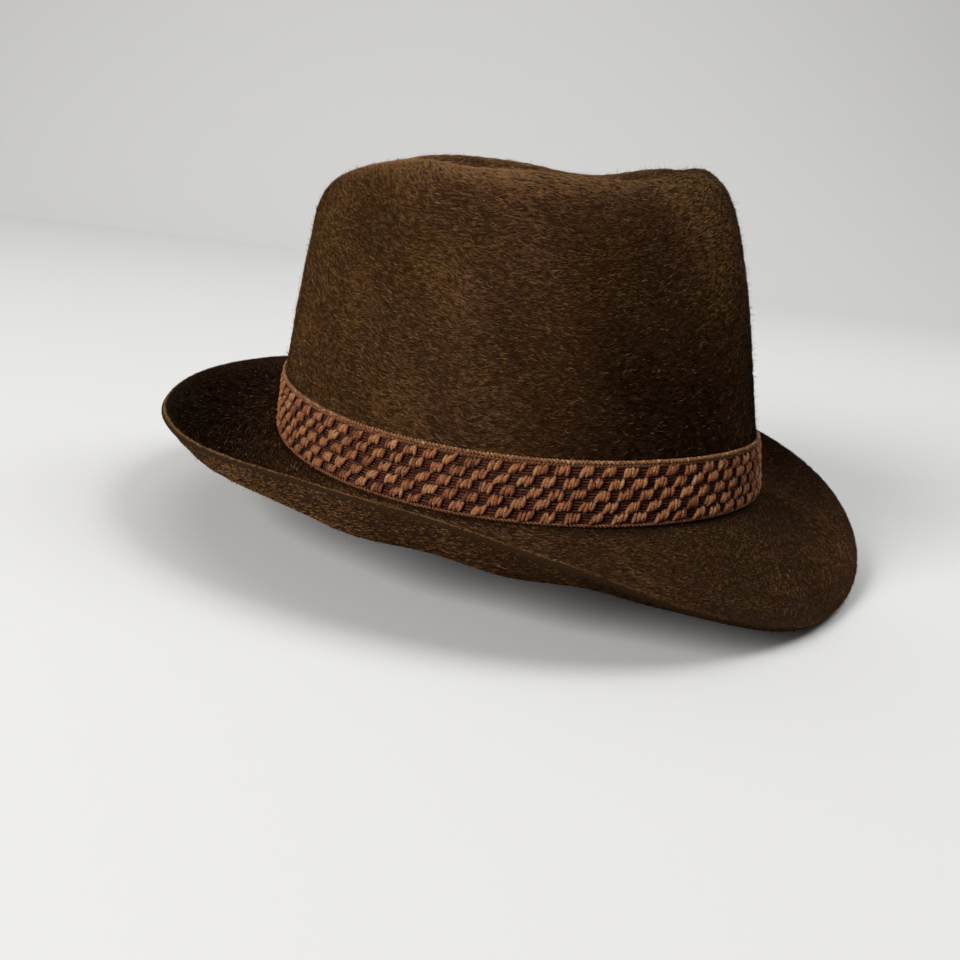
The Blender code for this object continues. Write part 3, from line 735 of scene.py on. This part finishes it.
# millimetres pressed in at each level: rounded edges, the sewn line and the embossed line
press = np.array([0.25, 0.05, 0.0, 0.12, 0.0, 0, 0, 0, 0, 0, 0.0, 0.14, 0.0, 0.05, 0.3]) * 0.001
sway = 0.00012 * np.sin(sweatT * 9 + 1) + 0.00008 * np.sin(sweatT * 23)
sweatFace = inside["sweatOut"] - inside["sweatThick"]
face = np.stack([wallPoint(sweatT, h, sweatFace + p + sway * (h / inside["sweatWide"]))
                 for h, p in zip(levels, press)])
rear = np.stack([wallPoint(sweatT, h, inside["sweatOut"] + 0 * sway) for h in levels])
loop = np.concatenate([face, rear[::-1]])
k = len(loop)
ends = [[np.arange(k) * steps], [(np.arange(k) * steps + steps - 1)[::-1]]]
sweat = newPiece("sweatband_leather", loop, [gridFaces(k, steps, True, False)] + [e[0][None] for e in ends],
                 leatherLook)
weld(sweat, 1e-7)
finishPiece(sweat, ["sweatband"])

ribbedLook, nodes, links, shader = newLook("ribbedRibbon", (0.060, 0.034, 0.020), 0.7, **{
    "Sheen Weight": 0.3, "Sheen Roughness": 0.4})
bumpFrom(nodes, links, shader, objectNoise(nodes, links, 1500, 2), 0.0002)
tapeInner = inside["reed"] + 0.00015
tapeOuter = tapeInner + inside["tapeThick"]
reedOut = inside["sweatOut"] - inside["sweatThick"] / 2
reedUp = -inside["clear"] - tapeOuter
steps = 560
tapeT = np.linspace(0, 2 * math.pi, steps, endpoint=False)
rib = 0.00007 * np.cos(np.arange(steps) * math.pi)  # a rib on every other section
tailOut = inside["sweatOut"] + inside["clear"] + inside["tapeThick"] / 2
turns = np.radians(np.linspace(60, -240, 17))
profile = [(tailOut - 0.000175, inside["tapeTail"], 0), (tailOut + 0.000175, inside["tapeTail"], 0),
           (tailOut + 0.000175, reedUp + 0.0003, 0)]
profile += [(reedOut + tapeOuter * math.cos(a), reedUp + tapeOuter * math.sin(a), 1) for a in turns[1:]
            if reedUp + tapeOuter * math.sin(a) < reedUp + 0.0002 or math.cos(a) < 0]
profile += [(reedOut + tapeInner * math.cos(a), reedUp + tapeInner * math.sin(a), 0) for a in turns[::-1]]
profile += [(tailOut - 0.000175, -inside["clear"] / 2, 0)]
tapeRows = np.stack([wallPoint(tapeT, h, o + 0 * tapeT) if not ribbed else
                     wallPoint(tapeT, h + rib * (h - reedUp) / tapeOuter, o + rib * (o - reedOut) / tapeOuter)
                     for o, h, ribbed in profile])
tape = newPiece("reed_tape_ribbon", tapeRows, [gridFaces(len(profile), steps, True, True)], ribbedLook)
weld(tape, 1e-7)
finishPiece(tape, ["reed_tape"])

reedLook, nodes, links, shader = newLook("reedPlastic", (0.55, 0.50, 0.40), 0.45)
bumpFrom(nodes, links, shader, objectNoise(nodes, links, 400, 2), 0.0001)
reedPath = wallPoint(tapeT[::4], reedUp, reedOut)[None]
points, groups = tubes(reedPath, inside["reed"], outward(tapeT[::4])[None], 10, looped=True)
finishPiece(newPiece("sweatband_reed_cord", points, groups, reedLook), ["sweatband_reed"])

# sewing: each stitch comes up through the leather, lies on it and goes down again
stitchLook, nodes, links, shader = newLook("waxedThread", (0.42, 0.25, 0.11), 0.6)
bumpFrom(nodes, links, shader, objectNoise(nodes, links, 3500, 2), 0.0001)
ringLength = math.pi * (hat["ovalA"] + hat["ovalB"])
count = int(ringLength / inside["stitchPitch"])
stitchT = math.pi + (np.arange(count) + 0.5) / count * 2 * math.pi
s = np.linspace(-1, 1, 9)
along = stitchT[:, None] + s[None] * inside["stitchLong"] / ringLength * math.pi
depth = sweatFace + 0.0005 - 0.00075 * (1 - s ** 4)
lower = inside["stitchRow"] + s * 0.00035
stitchPaths = wallPoint(along, lower + 0 * along, depth + 0 * along)
points, groups = tubes(stitchPaths, inside["stitchRadius"], outward(along), 7)
finishPiece(newPiece("sweatband_stitches", points, groups, stitchLook), ["sweatband_thread"])

# lining

liningLook, nodes, links, shader = newLook("satinLining", (0.19, 0.105, 0.045), 0.34, **{
    "Specular IOR Level": 0.5, "Sheen Weight": 0.2, "Sheen Roughness": 0.3, "Anisotropic": 0.5})
soft = objectNoise(nodes, links, 60, 3)
satin = ramp(nodes, links, soft, ((0.3, (0.15, 0.080, 0.033)), (0.7, (0.23, 0.13, 0.058))))
links.new(satin, shader.inputs["Base Color"])
bumpFrom(nodes, links, shader, objectNoise(nodes, links, 2400, 1, (1, 1, 0.2)), 0.00006)

seamRow = 4 * rowsPerSpan
inner = hat["felt"] + inside["clear"]
liningFace = skin - skinOut * inner
heightOver = (skin[..., 2] - breakRing(bodyT)[:, 2]).min(1)
lastRow = max(i for i in range(seamRow, len(skin)) if heightOver[i] > 0.015)


def liningPiece(name, first, last, foldDepth, node):  # follows the felt inside, gathered into shallow folds
    face = liningFace[first:last + 1].copy()
    way = skinOut[first:last + 1]
    share = np.linspace(0, 1, last - first + 1)[:, None]
    folds = foldDepth * (0.5 + 0.5 * np.sin(bodyT * 61 + 1.5 * np.sin(bodyT * 7))) * np.exp(-share / 0.25)
    folds = folds + 0.0005 * (0.5 + 0.5 * waves(face, 0.03, 21)) * np.sin(math.pi * np.clip(share, 0, 1))
    back = face - way * folds[..., None]
    loop = np.concatenate([back, (back - way * inside["liningThick"])[::-1]])
    k, cols = loop.shape[:2]
    core = first == 0
    piece = newPiece(name, loop, [gridFaces(k, cols, not core, False)], liningLook)
    weld(piece, 2e-6)
    return finishPiece(piece, [node])


liningTip = liningPiece("lining_tip_satin", 0, seamRow - 1, 0.0, "lining_tip")
liningSide = liningPiece("lining_side_satin", seamRow, lastRow, 0.0009, "lining_side")

pipingLook, nodes, links, shader = newLook("satinPiping", (0.11, 0.058, 0.024), 0.4, **{"Sheen Weight": 0.2})
bumpFrom(nodes, links, shader, objectNoise(nodes, links, 2400, 1), 0.00006)
pipingRadius = 0.0008
cordWay = skinOut[seamRow, :-1]
cordDepth = hat["felt"] + 2 * inside["clear"] + inside["liningThick"] + pipingRadius
cordPath = skin[seamRow, :-1] - cordWay * cordDepth
gathers = pipingRadius * (1 + 0.1 * np.sin(np.arange(feltShape["around"]) * 1.7))
points, groups = tubes(cordPath[None], gathers[None], cordWay[None], 10, looped=True)
finishPiece(newPiece("lining_piping_cord", points, groups, pipingLook), ["lining_piping"])

# ribbon bow at the back

bow = dict(half=0.0130, deep=0.0040, wide=0.0060, thick=0.0005, height=0.0100)
bowMid = wallPoint([math.pi], bow["height"], sweatFace - 0.0003)[0]
bowTop = wallPoint([math.pi], bow["height"] + 0.006, sweatFace - 0.0003)[0]
lean = unit(bowTop - bowMid)
inWay = np.cross(lean, [1.0, 0, 0])
inWay = inWay * (-1 if inWay[1] > 0 else 1)
a = np.linspace(0, 2 * math.pi, 120, endpoint=False)
waist = 2 * bow["thick"] + 0.0003
x = bow["half"] * np.cos(a)
puff = (bow["deep"] - waist) / 2 * np.abs(np.cos(a)) ** 1.3
y = np.sign(np.sin(a)) * (waist / 2 - bow["thick"] / 2 + puff) * np.minimum(1, np.abs(np.sin(a)) * 1.8)
edge = unit(np.stack([np.roll(x, -1) - np.roll(x, 1), np.roll(y, -1) - np.roll(y, 1)], -1))
square = np.stack([edge[:, 1], -edge[:, 0]], -1)
bowOut = bow["deep"] / 2 + bow["thick"] + 0.0012
flare = 0.55 + 0.45 * np.clip(np.abs(x) / 0.005, 0, 1)  # gathered at the knot
levels = np.linspace(-0.5, 0.5, 25)
ripple = 0.00004 * np.cos(np.arange(25) * math.pi)
sheets = []
for sign in (0.5, -0.5):
    p = np.stack([x, y], -1)[None] + square[None] * (sign * bow["thick"] + ripple[:, None, None])
    sheets.append(bowMid + p[..., :1] * np.array([1.0, 0, 0]) + inWay * (bowOut + p[..., 1:])
                  + lean * levels[:, None, None] * bow["wide"] * flare[None, :, None])
loop = np.concatenate([sheets[0], sheets[1][::-1]])
ribbon = newPiece("rear_bow_ribbon", loop, [gridFaces(50, 120, True, True)], ribbedLook)
finishPiece(weld(ribbon, 1e-7), ["rear_bow_loops"])
a = np.linspace(0, 2 * math.pi, 48, endpoint=False)
power = 0.35
ringX = np.sign(np.cos(a)) * np.abs(np.cos(a)) ** power
ringY = np.sign(np.sin(a)) * np.abs(np.sin(a)) ** power
knotRows = []
innerTurn = [(0.0, w) for w in np.linspace(-1, 1, 9)]
outerTurn = [(bow["thick"], w) for w in np.linspace(1, -1, 9)]
for grow, wide in innerTurn + outerTurn:
    swell = grow + 0.0001 * math.cos(wide * 8)
    outPart = inWay * (bowOut + ringX[:, None] * (waist / 2 + 0.0004 + swell))
    upPart = lean * ringY[:, None] * (bow["wide"] * 0.3 + 0.0003 + swell)
    knotRows.append(bowMid + np.array([wide * 0.0022, 0, 0]) + outPart + upPart)
knot = newPiece("rear_bow_wrap", np.stack(knotRows), [gridFaces(18, 48, True, True)], ribbedLook)
finishPiece(weld(knot, 1e-7), ["rear_bow_knot"])

# stage

camera = dict(azimuth=-61.0, elevation=14.7, roll=6.8, distance=0.542, lens=47.9, pan=1.46, tilt=-1.24)
studio = dict(wall=(0.435, 0.435, 0.433), world=0.11, seen=0.66, key=90, front=20, top=10,
              floorRadius=1.5, backdropRadius=0.85, backdropHalf=1.3, backdropTall=3.5)

floorLook, nodes, links, shader = newLook("paleFloor", studio["wall"], 0.9, **{"Specular IOR Level": 0.1})
floorZ = cadLow.z - 0.002
az = math.radians(camera["azimuth"])
toCamera = np.array([math.sin(az), -math.cos(az), 0])
sideways = np.array([math.cos(az), math.sin(az), 0])
discR, discA = np.meshgrid(np.linspace(0, studio["floorRadius"], 7),
                           np.linspace(0, 2 * math.pi, 96, endpoint=False), indexing="ij")
discRows = np.stack([discR * np.cos(discA), discR * np.sin(discA), floorZ + 0 * discR], -1)
floor = weld(newPiece("stage_floor", discRows, [gridFaces(7, 96, False, True)], floorLook))
# backdrop: leaves the floor level behind the hat, a quarter circle, then straight up
turn = np.linspace(0, math.pi / 2, 32)
bend = studio["backdropRadius"]
lengths = np.concatenate([-bend - bend * np.sin(turn), [-2 * bend]])
lifts = np.concatenate([bend * (1 - np.cos(turn)) - 0.001, [studio["backdropTall"]]])
spans = sideways * np.linspace(-studio["backdropHalf"], studio["backdropHalf"], 9)[:, None]
backRows = np.stack([toCamera * l + np.array([0, 0, floorZ + z]) + spans for l, z in zip(lengths, lifts)])
backdrop = newPiece("stage_backdrop", backRows, [gridFaces(len(lengths), 9, flip=True)], floorLook)


def softLight(name, azimuth, elevation, distance, size, power, colour=(1, 1, 1)):
    a, e = math.radians(azimuth), math.radians(elevation)
    spot = Vector((math.sin(a) * math.cos(e), -math.cos(a) * math.cos(e), math.sin(e))) * distance
    data = bpy.data.lights.new(name, "AREA")
    data.shape, data.size, data.energy, data.color = "DISK", size, power, colour
    lamp = bpy.data.objects.new(name, data)
    lamp.location = spot
    lamp.rotation_euler = (Vector((0, 0, 0.03)) - spot).to_track_quat("-Z", "Y").to_euler()
    scene.collection.objects.link(lamp)
    return lamp


softLight("key_window", -106, 26, 2.2, 1.2, studio["key"], (1.0, 0.985, 0.96))
softLight("front", 50, 60, 1.5, 1.0, studio["front"])
softLight("top", 150, 60, 1.6, 1.2, studio["top"])
world = bpy.data.worlds.new("room")
world.use_nodes = True
nodes, links = world.node_tree.nodes, world.node_tree.links
nodes["Background"].inputs[0].default_value = (1.0, 0.97, 0.93, 1)
ray = nodes.new("ShaderNodeLightPath")
glow = addNode(nodes, "ShaderNodeMapRange")  # the room lights softly, and beyond the floor it is seen pale
glow.inputs["To Min"].default_value, glow.inputs["To Max"].default_value = studio["world"], studio["seen"]
links.new(ray.outputs["Is Camera Ray"], glow.inputs["Value"])
links.new(glow.outputs[0], nodes["Background"].inputs[1])
scene.world = world
scene.view_settings.view_transform = "Standard"

a, e = (math.radians(camera[k]) for k in ("azimuth", "elevation"))
back = Vector((math.sin(a) * math.cos(e), -math.cos(a) * math.cos(e), math.sin(e)))
right = (-back).cross(Vector((0, 0, 1))).normalized()
upward = right.cross(-back)
aim = Matrix((right, upward, back)).transposed().to_4x4()
aim = aim @ Matrix.Rotation(math.radians(camera["roll"]), 4, "Z")
aim = aim @ Matrix.Rotation(math.radians(camera["pan"]), 4, "Y")
aim = aim @ Matrix.Rotation(math.radians(camera["tilt"]), 4, "X")
lensData = bpy.data.cameras.new("view")
lensData.lens, lensData.sensor_width = camera["lens"], 36
lensData.clip_start, lensData.clip_end = 0.01, 20
eye = bpy.data.objects.new("view", lensData)
eye.matrix_world = Matrix.Translation(back * camera["distance"]) @ aim
scene.collection.objects.link(eye)
scene.camera = eye
